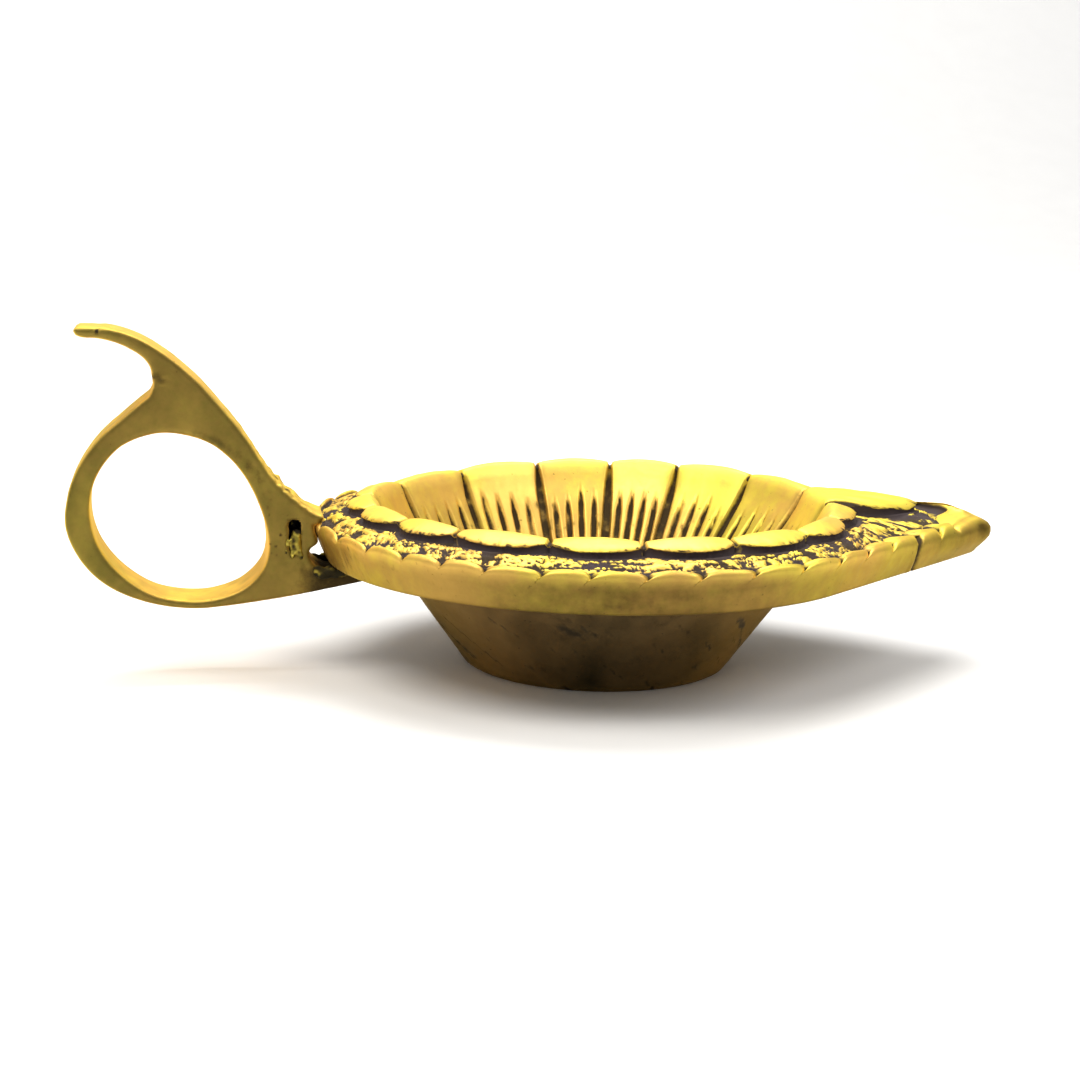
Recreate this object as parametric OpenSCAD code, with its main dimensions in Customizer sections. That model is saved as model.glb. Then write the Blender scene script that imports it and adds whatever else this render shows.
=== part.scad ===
// Hand-held lotus diya (oil lamp) in cast brass.
// Origin: centre of the foot's resting face. +X points to the wick spout,
// -X to the finger loop, +Z up. Millimetres.

/* [Pan] */
// Outer radius of the rim at its top edge
rim_r = 42.6; // [41:0.2:45]
// Outer radius of the rim at its underside
rim_r_low = 40.5; // [39:0.2:40.8]
// Height of the rim's underside above the table
rim_z = 16; // [15:0.5:18]
// Height of the rim's outer side
rim_h = 5.8; // [5:0.2:6.2]
// Distance from the bowl's axis to the tip of the spout
spout_reach = 62.4; // [60:0.2:70]
// Radius of the nose at the tip of the spout
spout_nose_r = 4; // [3:0.5:6]
// Height of the petal lip's crest above the table
lip_z = 25.3; // [25:0.1:27]
// Radius of the lip's crest
lip_crest_r = 34.6; // [34.2:0.1:35.2]
// Outer radius of the petal lip
lip_r = 37.4; // [36.6:0.1:38]

/* [Petals] */
// Half width of the grooves between petals
petal_groove_r = 0.5; // [0.3:0.1:0.9]
// Half width of the fine flutes on the lower wall
flute_r = 0.35; // [0.2:0.05:0.45]
// Width of the notches between the rim's scallops
rim_notch_w = 0.8; // [0.5:0.1:1.2]

/* [Foot] */
// Outer radius of the foot where it stands
foot_r = 19.5; // [18.5:0.5:21]
// Outer radius of the foot where it meets the rim
foot_top_r = 31; // [30.4:0.2:33]

/* [Handle] */
// Thickness of the handle across its flat faces
handle_t = 9.2; // [8:0.2:11]

/* [Brazing] */
// Radius of the brazing beads along the tang
braze_r = 1.3; // [1.2:0.1:1.6]

/* [Hidden] */
$fn = 96;
eps = 0.01;
rim_top = rim_z + rim_h;
seat = 0.02;          // clearance of the brazed seats
// hand-cut pattern: grooves between the petals, degrees round from the spout
petal_at = [10, 34, 56, 74.5, 95, 120, 147, 170, 188.4, 207.2, 224.8, 247, 267.3,
            288.3, 309.3, 331, 351];
petals = len(petal_at);
function petal_angle(i) = petal_at[i % petals] + (i < petals ? 0 : 360);
// notches between the scallops of the rim's round part
notch_at = [53.9, 65, 76.1, 87.2, 98.3, 109.4, 120.5, 131.6, 142.7, 153.8, 164.9, 176,
            187.1, 198.2, 209.3, 219.2, 227.9, 236.6, 247.1, 255.8, 265.7, 275.6,
            286.2, 297.5, 308.2];
// inside of the bowl, from the middle of the floor to the crest
bowl_in = [[0, 3], [15, 3], [17.4, 3.7], [21, 6.6], [26.6, 13.8],
           [31.6, 20.6], [33.2, 24], [lip_crest_r - 0.4, lip_z]];
// tangent spout: the nose sits where the straight sides keep one slope
nose_x = spout_reach - spout_nose_r;
low_nose_r = spout_nose_r - 1;
low_nose_x = nose_x * (rim_r_low - low_nose_r) / (rim_r - spout_nose_r);

// outline of the long end petal over the spout, X and Y
petal_tongue = [[34.5, -9.8], [39.5, -8.8], [43, -6.8], [46.5, -3.8], [49, -1.2],
                [49.7, 0.2], [49, 1.6], [46.5, 4.6], [43, 7.8], [39.5, 10],
                [34.5, 10.8], [33, 0]];

// ---- curve helpers ----
function cr(a, b, c, d, t) =
    0.5 * ((2 * b) + (c - a) * t + (2 * a - 5 * b + 4 * c - d) * t * t
           + (3 * b - a - 3 * c + d) * t * t * t);
// smooth closed loop through the points p, s steps a span
function smooth_loop(p, s = 5) = let (n = len(p))
    [for (i = [0:n - 1], j = [0:s - 1])
        cr(p[(i + n - 1) % n], p[i], p[(i + 1) % n], p[(i + 2) % n], j / s)];
// smooth open run through the points p, ends kept
function smooth_run(p, s = 5) = let (n = len(p))
    concat([for (i = [0:n - 2], j = [0:s - 1])
        cr(p[max(i - 1, 0)], p[i], p[i + 1], p[min(i + 2, n - 1)], j / s)],
        [p[n - 1]]);

// ---- handle outline, X and Z in the middle plane, clockwise by runs ----
// top: thumb rest, neck, then down to the rim's top edge
hand_top = [[-75.2, 49.9], [-72.4, 49.8], [-69.6, 49.3], [-66.8, 48.3], [-64, 46.7],
            [-61.2, 44.6], [-58.4, 42], [-55.6, 38.8], [-52.7, 35.2], [-50, 31],
            [-48.2, 28.3], [-45.5, 25.7], [-43.2, 23.9], [-41.4, 23.2]];
// outside of the loop, from the tang under the rim round to the notch
hand_loop = [[-32.4, 14], [-36, 13.3], [-41, 12.3], [-47.5, 11.1], [-54, 10.2],
             [-60, 9.8], [-66, 10.7], [-71.5, 13.1], [-75.2, 16.7], [-77.3, 21.5],
             [-76.9, 26.4], [-75.3, 30.4], [-72.6, 34.2], [-69.8, 36.8], [-66.9, 39.3],
             [-65.5, 40.4]];
// underside of the thumb rest
hand_thumb = [[-65, 41.6], [-65.1, 42.9], [-65.6, 44.6], [-66.9, 46], [-69.4, 47.5],
              [-72.1, 48.3], [-74.7, 48.7]];
// finger hole
hand_hole = [[-60.5, 11], [-65.5, 12.1], [-70, 15.3], [-72.9, 19.4], [-73.9, 24.2],
             [-72.9, 28.9], [-69.8, 32.9], [-65.6, 34.8], [-61.5, 34.9],
             [-57, 33.4], [-53.2, 29.9], [-50.6, 25.2], [-49.2, 20.2],
             [-49.6, 16.1], [-52.4, 12.9], [-56.4, 11.3]];

// ---- lamp pan ----
module rim_plate() {
    hull() {
        translate([0, 0, rim_z]) cylinder(r = rim_r_low, h = eps);
        translate([0, 0, rim_top - 0.6]) cylinder(r = rim_r, h = eps);
        translate([0, 0, rim_top - eps]) cylinder(r = rim_r - 0.5, h = eps);
        translate([low_nose_x, 0, rim_z]) cylinder(r = low_nose_r, h = eps, $fn = 32);
        translate([nose_x - 0.6, 0, rim_z + rim_h / 2]) cylinder(r = spout_nose_r + 0.6, h = 1, $fn = 32);
        translate([nose_x - 1.6, 0, rim_top - eps]) cylinder(r = spout_nose_r - 0.6, h = eps, $fn = 32);
    }
}

// recessed border that climbs from the rim to the foot of the lip
module border() {
    hull() {
        translate([0, 0, rim_top - 0.5]) cylinder(r = rim_r - 1.1, h = eps);
        translate([0, 0, rim_top + 1.2]) cylinder(r = lip_r + 0.5, h = eps);
        translate([nose_x - 3, 0, rim_top - 0.5]) cylinder(r = spout_nose_r - 1.4, h = eps, $fn = 32);
        translate([nose_x - 8, 0, rim_top + 0.9]) cylinder(r = spout_nose_r - 2, h = eps, $fn = 32);
    }
}

module lip() {
    rotate_extrude()
        polygon([[30, rim_z + 1], [lip_r - 0.6, rim_z + 1], [lip_r, rim_top + 1],
                 [lip_r, lip_z - 1.1], [lip_r - 0.7, lip_z - 0.4],
                 [lip_crest_r + 0.7, lip_z], [30, lip_z]]);
}

// long end petal that carries the wick out over the spout; its top slopes down
module spout_petal() {
    intersection() {
        translate([0, 0, rim_top - 0.8]) linear_extrude(6)
            polygon(smooth_loop(petal_tongue, 3));
        translate([lip_crest_r, 0, lip_z - 0.1]) rotate([0, 4.5, 0])
            translate([-8, -20, -8]) cube([40, 40, 8]);
    }
}

module cup() {
    rotate_extrude()
        polygon([[0, 1.8], [15.4, 1.8], [18.4, 2.6], [22.3, 5.9], [28, 13.2],
                 [30.2, rim_z], [30.2, rim_z + 2], [0, rim_z + 2]]);
}

module bowl_space() {
    rotate_extrude()
        polygon(concat(bowl_in, [[lip_crest_r, lip_z + 3], [0, lip_z + 3]]));
}

// thin upright wedge in the plane at angle a, cut to the outline p of R and Z
module radial_cut(a, w, p) {
    rotate([0, 0, a]) rotate([90, 0, 0]) linear_extrude(w, center = true) polygon(p);
}

// groove between two petals, over the lip and down the wall
module petal_groove(a) {
    radial_cut(a, 2 * petal_groove_r,
        [[26.9, 13.2], [32.2, 20.3], [33.9, 23.6], [35, 24.6], [39, 24], [39, 27],
         [30, 27], [24, 14]]);
}

// one of the fine flutes on the lower wall
module flute(a) {
    radial_cut(a, 2 * flute_r, [[21.4, 6.3], [31.3, 19.4], [29, 20.5], [19, 8]]);
}

// small notch between two scallops of the rim's upper edge
module rim_notch(a) {
    radial_cut(a, rim_notch_w,
        [[rim_r + 2, rim_top - 0.9], [rim_r + 2, rim_top + 2], [rim_r - 1.6, rim_top + 2],
         [rim_r - 1.6, rim_top - 0.2]]);
}

// upright crease in the side of the spout, left from hand dressing
module spout_crease() {
    radial_cut(338.3, 0.6,
        [[rim_r + 2.1, rim_z - 1], [rim_r + 4.5, rim_top + 1], [rim_r + 10, rim_top + 1],
         [rim_r + 10, rim_z - 1]]);
}

module lamp_pan() {
    color([0.86, 0.70, 0.28])
    difference() {
        union() {
            rim_plate();
            border();
            lip();
            spout_petal();
            cup();
        }
        bowl_space();
        for (a = petal_at) petal_groove(a);
        for (i = [0:petals - 1], k = [1:4])
            flute(petal_angle(i) + (petal_angle(i + 1) - petal_angle(i)) * k / 5);
        for (a = notch_at) rim_notch(a);
        spout_crease();
    }
}

// ---- foot ----
module foot() {
    color([0.42, 0.34, 0.16])
    rotate_extrude()
        polygon([[17.6, 0], [foot_r - 0.6, 0], [foot_r, 0.6],
                 [foot_top_r, rim_z - seat], [30.2 + seat, rim_z - seat],
                 [28 + seat, 13.2 - seat], [22.3 + seat, 5.9 - seat],
                 [18.4 + seat, 2.6 - seat], [17.6, 2.35]]);
}

// ---- handle ----
// prong over the rim, then down the rim's side and under it to the tang's end
hand_seat = [[-41.1, 22.9], [-41.6, rim_top + seat], [-42.9, rim_top + seat], [-42.9, 17.4],
             [-42.2, 15.4], [-38.4, 15.1], [-37.4, rim_z - seat], [-32.4, rim_z - seat],
             [-32.4, 15]];

module handle_outline() {
    difference() {
        polygon(concat(smooth_run(hand_top), hand_seat, smooth_run(hand_loop),
                       smooth_run(hand_thumb), [[-75.3, 49.3]]));
        polygon(smooth_loop(hand_hole));
    }
}

// open fork between the neck and the rim end, closed again by brazing metal
module fork_slot() {
    translate([0, handle_t, 0]) rotate([90, 0, 0]) linear_extrude(2 * handle_t) {
        translate([-45.4, 21.6]) circle(r = 0.9, $fn = 24);
        translate([-46.1, 18.6]) square([1.5, 3]);
        translate([-45.35, 18.6]) circle(r = 0.75, $fn = 24);
    }
}

module handle() {
    color([0.62, 0.54, 0.24])
    difference() {
        translate([0, handle_t / 2, 0]) rotate([90, 0, 0])
            linear_extrude(handle_t) handle_outline();
        fork_slot();
    }
}

// ---- brazing metal ----
// plug run into the fork, standing a little proud of both faces
module upper_braze() {
    color([0.80, 0.68, 0.22])
    translate([0, handle_t / 2 + 0.35, 0]) rotate([90, 0, 0])
        linear_extrude(handle_t + 0.7) {
            translate([-45.35, 18.6]) circle(r = 0.72, $fn = 24);
            translate([-46.05, 18.6]) square([1.4, 1.9]);
            translate([-45.35, 20.5]) circle(r = 0.7, $fn = 24);
        }
    // core that closes the fork's upper end and leaves a blind pit on each face
    translate([0, 2, 0]) rotate([90, 0, 0]) linear_extrude(4)
        translate([-45.4, 21.6]) circle(r = 0.86, $fn = 24);
}

// lumpy bead along each side of the tang, under the rim
module lower_braze() {
    color([0.72, 0.60, 0.22])
    for (s = [-1, 1]) difference() {
        translate([-42.4, s * (handle_t / 2 + 0.2), 15]) rotate([0, 90, 0]) rotate_extrude()
            polygon([[0, 0], [braze_r - 0.5, 0], [braze_r, 1], [braze_r - 0.3, 2],
                     [braze_r - 0.05, 3], [braze_r - 0.35, 3.9], [braze_r - 0.1, 4.8],
                     [braze_r - 0.5, 5.7], [0, 5.7]]);
        translate([-50, -handle_t / 2 - seat, 5]) cube([20, handle_t + 2 * seat, 20]);
        translate([-50, -10, rim_z - seat]) cube([20, 20, 20]);
    }
}

lamp_pan();
foot();
handle();
upper_braze();
lower_braze();
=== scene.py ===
import math

import bmesh
import bpy
import numpy as np
from mathutils import Matrix, Vector


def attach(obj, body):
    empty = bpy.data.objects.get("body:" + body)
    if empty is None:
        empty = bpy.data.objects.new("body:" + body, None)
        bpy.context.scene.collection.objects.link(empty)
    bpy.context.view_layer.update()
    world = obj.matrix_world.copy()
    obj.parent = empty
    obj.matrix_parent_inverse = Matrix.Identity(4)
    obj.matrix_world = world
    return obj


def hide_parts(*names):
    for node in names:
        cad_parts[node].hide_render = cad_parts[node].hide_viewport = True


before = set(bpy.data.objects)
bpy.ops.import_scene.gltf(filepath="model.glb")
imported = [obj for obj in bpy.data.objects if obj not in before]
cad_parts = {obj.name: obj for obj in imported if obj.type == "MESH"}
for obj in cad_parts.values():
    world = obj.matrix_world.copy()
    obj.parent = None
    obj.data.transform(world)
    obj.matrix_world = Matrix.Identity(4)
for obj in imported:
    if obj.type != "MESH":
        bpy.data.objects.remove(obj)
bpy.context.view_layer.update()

scene = bpy.context.scene
MM = 0.001
DEG = math.pi / 180


# ---------------------------------------------------------------- camera
def make_camera():
    e, roll, turn, dist = 10.78 * DEG, 1.46 * DEG, -11 * DEG, 1921 * 0.15
    back = np.array([0, -math.cos(e), math.sin(e)])
    right = np.array([1.0, 0, 0])
    up = np.array([0, math.sin(e), math.cos(e)])
    r = right * math.cos(roll) + up * math.sin(roll)
    u = up * math.cos(roll) - right * math.sin(roll)
    at = np.array([-57.3 * 0.15, 0, 120.7 * 0.15]) + back * dist
    z = np.array([[math.cos(turn), -math.sin(turn), 0],
                  [math.sin(turn), math.cos(turn), 0], [0, 0, 1]])
    r, u, back, at = z @ r, z @ u, z @ back, z @ at
    cam = bpy.data.cameras.new("camera")
    cam.sensor_width = 36
    cam.lens = 1921 * 36 / 1080
    cam.clip_start, cam.clip_end = 0.01, 20
    ob = bpy.data.objects.new("camera", cam)
    m = Matrix.Identity(4)
    for i in range(3):
        m[i][0], m[i][1], m[i][2], m[i][3] = r[i], u[i], back[i], at[i] * MM
    ob.matrix_world = m
    scene.collection.objects.link(ob)
    scene.camera = ob


make_camera()


# ---------------------------------------------------------------- noise
def _hash(ix, iy, iz, seed):
    n = (ix.astype(np.int64) * 374761393 + iy.astype(np.int64) * 668265263
         + iz.astype(np.int64) * 1440662683 + seed * 974634777) & 0xFFFFFFFF
    n = ((n ^ (n >> 13)) * 1274126177) & 0xFFFFFFFF
    n = ((n ^ (n >> 15)) * 2246822519) & 0xFFFFFFFF
    return (n ^ (n >> 16)) / 4294967296.0


def vnoise(x, y, z, seed=0):
    """Smooth value noise, about -1 to 1."""
    x, y, z = np.broadcast_arrays(x, y, z)
    ix, iy, iz = np.floor(x), np.floor(y), np.floor(z)
    fx, fy, fz = x - ix, y - iy, z - iz
    fx, fy, fz = (f * f * (3 - 2 * f) for f in (fx, fy, fz))
    out = 0
    for dx in (0, 1):
        for dy in (0, 1):
            for dz in (0, 1):
                w = (fx if dx else 1 - fx) * (fy if dy else 1 - fy) * (fz if dz else 1 - fz)
                out = out + w * _hash(ix + dx, iy + dy, iz + dz, seed)
    return out * 2 - 1


def fbm(x, y, z, octaves=3, seed=0):
    out, amp, tot = 0, 1.0, 0
    for i in range(octaves):
        out = out + amp * vnoise(x * 2 ** i, y * 2 ** i, z * 2 ** i, seed + 17 * i)
        tot += amp
        amp *= 0.5
    return out / tot


def cells(x, y, size, seed=0):
    """Distance to the nearest scattered point in the plane, to the second, and the nearest's own number."""
    gx, gy = x / size, y / size
    ix, iy = np.floor(gx), np.floor(gy)
    best = np.full(x.shape, 9.0)
    second = np.full(x.shape, 9.0)
    mine = np.zeros(x.shape)
    zero = np.zeros(x.shape)
    for dx in (-1, 0, 1):
        for dy in (-1, 0, 1):
            cx, cy = ix + dx, iy + dy
            px = cx + 0.15 + 0.7 * _hash(cx, cy, zero, seed)
            py = cy + 0.15 + 0.7 * _hash(cx, cy, zero, seed + 1)
            d = np.hypot(gx - px, gy - py)
            near = d < best
            second = np.where(near, best, np.minimum(second, d))
            mine = np.where(near, _hash(cx, cy, zero, seed + 2), mine)
            best = np.where(near, d, best)
    return best * size, second * size, mine


def smooth(a, b, x):
    t = np.clip((x - a) / (b - a), 0, 1)
    return t * t * (3 - 2 * t)


# ---------------------------------------------------------------- meshes
def add_piece(name, mesh, replaced, material):
    for p in mesh.polygons:
        p.use_smooth = True
    ob = bpy.data.objects.new(name, mesh)
    scene.collection.objects.link(ob)
    mesh.materials.clear()
    mesh.materials.append(material)
    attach(ob, "root")
    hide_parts(*replaced)
    return ob


def set_attribute(mesh, name, values):
    a = mesh.attributes.new(name, "FLOAT", "POINT")
    a.data.foreach_set("value", np.ascontiguousarray(values, np.float32).ravel())


def lathe_mesh(name, rings_x, rings_y, rings_z, attributes, start, end):
    """Closed mesh from rings of equal length, capped by one point at each end."""
    n_ring, n_th = rings_x.shape
    co = np.stack([rings_x, rings_y, rings_z], -1).reshape(-1, 3)
    co = np.vstack([co, [start, end]]) * MM
    i = np.arange(n_ring - 1)[:, None] * n_th
    j = np.arange(n_th)[None, :]
    k = (j + 1) % n_th
    quads = np.stack([i + j, i + n_th + j, i + n_th + k, i + k], -1).reshape(-1, 4)
    s, e = n_ring * n_th, n_ring * n_th + 1
    j = np.arange(n_th)
    k = (j + 1) % n_th
    last = (n_ring - 1) * n_th
    tri = np.vstack([np.stack([np.full(n_th, s), j, k], -1),
                     np.stack([np.full(n_th, e), last + k, last + j], -1)])
    mesh = bpy.data.meshes.new(name)
    mesh.vertices.add(len(co))
    mesh.vertices.foreach_set("co", co.astype(np.float32).ravel())
    loops = np.concatenate([quads.ravel(), tri.ravel()])
    mesh.loops.add(len(loops))
    mesh.loops.foreach_set("vertex_index", loops.astype(np.int32))
    starts = np.concatenate([np.arange(len(quads)) * 4, len(quads) * 4 + np.arange(len(tri)) * 3])
    totals = np.concatenate([np.full(len(quads), 4), np.full(len(tri), 3)])
    mesh.polygons.add(len(starts))
    mesh.polygons.foreach_set("loop_start", starts.astype(np.int32))
    mesh.polygons.foreach_set("loop_total", totals.astype(np.int32))
    mesh.update(calc_edges=True)
    for key, v in attributes.items():
        v = np.concatenate([v.reshape(-1), [v[0].mean(), v[-1].mean()]])
        set_attribute(mesh, key, v)
    bm = bmesh.new()
    bm.from_mesh(mesh)
    bmesh.ops.recalc_face_normals(bm, faces=bm.faces)
    bm.to_mesh(mesh)
    bm.free()
    return mesh


# ---------------------------------------------------------------- materials
def rgba(c):
    return (*c, 1.0)


class Nodes:
    """Small helper that lays out one node material."""

    def __init__(self, name):
        self.m = bpy.data.materials.new(name)
        self.m.use_nodes = True
        self.t = self.m.node_tree
        self.t.nodes.clear()
        self.out = self.t.nodes.new("ShaderNodeOutputMaterial")
        self.bsdf = self.t.nodes.new("ShaderNodeBsdfPrincipled")
        self.t.links.new(self.bsdf.outputs[0], self.out.inputs[0])
        self.co = self.t.nodes.new("ShaderNodeTexCoord").outputs["Object"]

    def put(self, socket, value):
        if isinstance(value, bpy.types.NodeSocket):
            self.t.links.new(value, socket)
        else:
            socket.default_value = value

    def attr(self, name):
        n = self.t.nodes.new("ShaderNodeAttribute")
        n.attribute_name = name
        return n.outputs["Fac"]

    def math(self, op, a, b=0.0, clamp=False):
        n = self.t.nodes.new("ShaderNodeMath")
        n.operation, n.use_clamp = op, clamp
        self.put(n.inputs[0], a)
        self.put(n.inputs[1], b)
        return n.outputs[0]

    def noise(self, scale, detail=4.0, rough=0.55, stretch=None, distortion=0.0, turn=None):
        co = self.co
        if stretch or turn:
            m = self.t.nodes.new("ShaderNodeMapping")
            if turn:
                m.inputs["Rotation"].default_value = turn
            if stretch:
                m.inputs["Scale"].default_value = stretch
            self.t.links.new(co, m.inputs["Vector"])
            co = m.outputs[0]
        n = self.t.nodes.new("ShaderNodeTexNoise")
        self.t.links.new(co, n.inputs["Vector"])
        n.inputs["Scale"].default_value = scale
        n.inputs["Detail"].default_value = detail
        n.inputs["Roughness"].default_value = rough
        n.inputs["Distortion"].default_value = distortion
        return n.outputs["Fac"]

    def ramp(self, value, low, high, a=0.0, b=1.0):
        n = self.t.nodes.new("ShaderNodeMapRange")
        n.interpolation_type = "SMOOTHSTEP"
        self.put(n.inputs["Value"], value)
        n.inputs["From Min"].default_value = low
        n.inputs["From Max"].default_value = high
        n.inputs["To Min"].default_value = a
        n.inputs["To Max"].default_value = b
        return n.outputs["Result"]

    def mix(self, f, a, b):
        n = self.t.nodes.new("ShaderNodeMix")
        n.data_type = "RGBA"
        self.put(n.inputs[0], f)
        self.put(n.inputs[6], rgba(a) if isinstance(a, tuple) else a)
        self.put(n.inputs[7], rgba(b) if isinstance(b, tuple) else b)
        return n.outputs[2]

    def bump(self, height, strength, distance, normal=None):
        n = self.t.nodes.new("ShaderNodeBump")
        n.inputs["Strength"].default_value = strength
        n.inputs["Distance"].default_value = distance
        self.t.links.new(height, n.inputs["Height"])
        if normal is not None:
            self.t.links.new(normal, n.inputs["Normal"])
        return n.outputs[0]


def brass(name, bright, warm, dull, dull_warm, dirt_and_shade, deep_dirt_and_shade, rough=(0.30, 0.5),
          scratch_turn=(0, 0, 0), scratch_stretch=(1, 1, 1), specks=0.5, metallic=1.0):
    """Aged cast brass. Vertex values: patina and shade (dirt in the hollows, and painted shade in places), tone (bright
    to dull, and in places painted light, shade and reflection), violet (hue of the dirt and of the painted shade).
    """
    n = Nodes(name)
    patina_and_shade, tone, violet = n.attr("patina_and_shade"), n.attr("tone"), n.attr("violet")
    broad = n.noise(55, 3.0, 0.5)
    mid = n.noise(420, 5.0, 0.6)
    fine = n.noise(2600, 3.0, 0.6)
    scratch = n.noise(900, 4.0, 0.7, stretch=scratch_stretch, turn=scratch_turn)
    # specks of casting pits
    pits = n.ramp(n.noise(1500, 2.0, 0.5), 0.70, 0.78)
    pits = n.math("MULTIPLY", pits, specks)
    tint = n.ramp(n.math("ADD", n.math("MULTIPLY", broad, 0.7), n.math("MULTIPLY", mid, 0.3)), 0.38, 0.62)
    clean = n.mix(tint, bright, warm)
    # dull colours: worn metal, and where tone is painted, painted shade and reflection
    worn = n.mix(n.ramp(n.math("ADD", n.math("MULTIPLY", broad, 0.5), n.math("MULTIPLY", scratch, 0.5)), 0.36, 0.64),
                 dull, dull_warm)
    tone_n = n.math("ADD", tone, n.math("MULTIPLY", n.math("SUBTRACT", mid, 0.5), 0.22), clamp=True)
    metal = n.mix(tone_n, clean, worn)
    # dirt and painted shade: the vertex patina values, roughened by noise
    dirt_shade_n = n.math("ADD", patina_and_shade, n.math("MULTIPLY", n.math("SUBTRACT", mid, 0.5), 0.55))
    dirt_shade_n = n.math("ADD", dirt_shade_n, n.math("MULTIPLY", n.math("SUBTRACT", fine, 0.5), 0.25))
    dirt_shade_f = n.ramp(dirt_shade_n, 0.22, 0.78)
    dirt_shade_f = n.math("MAXIMUM", dirt_shade_f, pits)
    dirt_shade_c = n.mix(violet, dirt_and_shade, deep_dirt_and_shade)
    n.put(n.bsdf.inputs["Base Color"], n.mix(dirt_shade_f, metal, dirt_shade_c))
    n.put(n.bsdf.inputs["Metallic"], n.ramp(dirt_shade_f, 0.2, 1.0, metallic, 0.30))
    r = n.math("ADD", n.math("MULTIPLY", tone_n, rough[1] - rough[0]), rough[0])
    r = n.math("ADD", r, n.math("MULTIPLY", dirt_shade_f, 0.32))
    r = n.math("ADD", r, n.math("MULTIPLY", n.math("SUBTRACT", scratch, 0.5), 0.22), clamp=True)
    n.put(n.bsdf.inputs["Roughness"], r)
    n.bsdf.inputs["Specular IOR Level"].default_value = 0.25
    n.bsdf.inputs["Specular Tint"].default_value = (0.98, 0.80, 0.42, 1)
    h = n.math("ADD", n.math("MULTIPLY", mid, 0.55), n.math("MULTIPLY", fine, 0.25))
    h = n.math("SUBTRACT", h, n.math("MULTIPLY", pits, 0.5))
    nb = n.bump(h, 0.35, 0.00012)
    nb = n.bump(scratch, 0.18, 0.00006, nb)
    n.put(n.bsdf.inputs["Normal"], nb)
    return n.m


# the pan's dull colours are worn metal, and on the outer side of the rim also painted shade and reflection
mat_pan = brass(
    "pan_brass", bright=(0.97, 0.75, 0.105), warm=(0.93, 0.58, 0.13),
    dull=(0.100, 0.071, 0.014), dull_warm=(0.170, 0.100, 0.024),
    dirt_and_shade=(0.044, 0.028, 0.008), deep_dirt_and_shade=(0.060, 0.045, 0.050), rough=(0.48, 0.46), metallic=0.85)
# the foot's colours are dark: as-cast brown brass, and painted shade for the shadow under the rim
mat_foot = brass(
    "foot_brass", bright=(0.38, 0.25, 0.105), warm=(0.32, 0.205, 0.085),
    dull=(0.058, 0.045, 0.024), dull_warm=(0.095, 0.062, 0.028),
    dirt_and_shade=(0.030, 0.021, 0.012), deep_dirt_and_shade=(0.018, 0.014, 0.012), rough=(0.42, 0.52))
mat_handle = brass(
    "handle_brass", bright=(0.86, 0.61, 0.10), warm=(0.82, 0.51, 0.11),
    dull=(0.150, 0.118, 0.022), dull_warm=(0.190, 0.128, 0.028),
    dirt_and_shade=(0.050, 0.032, 0.010), deep_dirt_and_shade=(0.010, 0.008, 0.006), rough=(0.60, 0.44), specks=0.35, metallic=0.85)
mat_braze = brass(
    "braze", bright=(0.66, 0.56, 0.08), warm=(0.44, 0.34, 0.06),
    dull=(0.14, 0.115, 0.020), dull_warm=(0.16, 0.115, 0.022),
    dirt_and_shade=(0.022, 0.018, 0.008), deep_dirt_and_shade=(0.006, 0.005, 0.004), rough=(0.32, 0.45))


# ---------------------------------------------------------------- lamp pan
PER = 60
# where the grooves between the petals lie, degrees, and the notches of the rim, two to a petal
PETAL_AT = [10, 34, 56, 74.5, 95, 120, 147, 170, 188.4, 207.2, 224.8, 247, 267.3, 288.3, 309.3, 331, 351]
RIM_AT = ([9.5 + 11.1 * i for i in range(19)]
          + [219.2, 227.9, 236.6, 247.1, 255.8, 265.7, 275.6, 286.2, 297.5, 308.2, 319.1, 329,
             338.3, 345.5, 350.6])
PETALS = len(PETAL_AT)


def bump_at(deg, centre, width):
    d = (deg - centre + 180) % 360 - 180
    return np.exp(-(d / width) ** 2)


def tear(th, r, c, rho):
    """Polar radius of the teardrop outline: circle r, straight tangents, nose of radius rho centred at c."""
    a = np.abs((th + math.pi) % (2 * math.pi) - math.pi)
    phi = math.acos((r - rho) / c)
    tip = math.atan2(rho * math.sin(phi), c + rho * math.cos(phi))
    line = r / np.cos(np.minimum(np.abs(phi - a), 1.2))
    nose = c * np.cos(a) + np.sqrt(np.maximum(rho ** 2 - (c * np.sin(a)) ** 2, 0))
    return np.where(a > phi, r, np.where(a > tip, line, nose))


def matched(th, r, c, rho, r0=42.4, c0=57.2, rho0=3.8):
    """Points of another teardrop that face the ones at angles th of the first, straight across the side."""
    s = (th + math.pi) % (2 * math.pi) - math.pi
    a, sign = np.abs(s), np.where(s < 0, -1.0, 1.0)
    phi0, phi = math.acos((r0 - rho0) / c0), math.acos((r - rho) / c)
    tip0 = math.atan2(rho0 * math.sin(phi0), c0 + rho0 * math.cos(phi0))
    q = tear(th, r0, c0, rho0)
    psi = np.arctan2(q * np.sin(a), q * np.cos(a) - c0) / phi0 * phi
    run = np.clip(r0 * np.tan(np.clip(phi0 - a, 0, 1.2)) / math.sqrt(c0 ** 2 - (r0 - rho0) ** 2), 0, 1)
    back = phi + (a - phi0) * (math.pi - phi) / (math.pi - phi0)
    l0, l1 = math.sqrt(c0 ** 2 - (r0 - rho0) ** 2), math.sqrt(c ** 2 - (r - rho) ** 2)
    way = run * l0 + (l1 - l0) * smooth(0.70, 1.0, run)
    x = np.where(a > phi0, r * np.cos(back), np.where(a > tip0, r * math.cos(phi) + math.sin(phi) * way,
                                                     c + rho * np.cos(psi)))
    y = np.where(a > phi0, r * np.sin(back), np.where(a > tip0, r * math.sin(phi) - math.cos(phi) * way,
                                                     rho * np.sin(psi)))
    ang = np.where(a > phi0, back, np.where(a > tip0, phi, psi))
    return x, sign * y, np.cos(ang), sign * np.sin(ang)


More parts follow.
